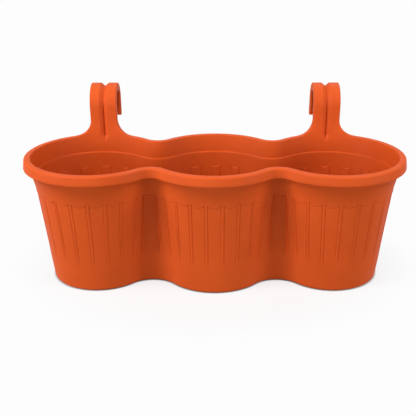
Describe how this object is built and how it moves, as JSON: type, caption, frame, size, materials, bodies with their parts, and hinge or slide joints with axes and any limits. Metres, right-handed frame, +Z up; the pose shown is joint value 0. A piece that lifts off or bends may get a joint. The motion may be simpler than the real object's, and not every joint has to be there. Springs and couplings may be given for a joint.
{
  "type": "balcony planter",
  "caption": "Three-lobed fluted balcony trough with a rolled rim, two moulded rail hooks and lift-out drain plugs.",
  "frame": {"origin": "on the standing surface, in the middle of the overall width and depth, hooks included", "axes": "+Z up, +X along the row of three cups, +Y towards the rail that the hooks hang on"},
  "size_m": [0.5588, 0.2626, 0.2642],
  "materials": {
    "terracotta_plastic": "satin",
    "plug_plastic": "satin"
  },
  "bodies": {
    "planter": {"planter_body": "terracotta_plastic"},
    "plug_left": {"drain_plug_left": "plug_plastic"},
    "plug_centre": {"drain_plug_centre": "plug_plastic"},
    "plug_right": {"drain_plug_right": "plug_plastic"}
  },
  "joints": [
    {"name": "plug_left_lift", "type": "slide", "parent": "planter", "child": "plug_left", "axis": [0, 0, 1], "range_m": [0, 0.2]},
    {"name": "plug_centre_lift", "type": "slide", "parent": "planter", "child": "plug_centre", "axis": [0, 0, 1], "range_m": [0, 0.2]},
    {"name": "plug_right_lift", "type": "slide", "parent": "planter", "child": "plug_right", "axis": [0, 0, 1], "range_m": [0, 0.2]}
  ]
}
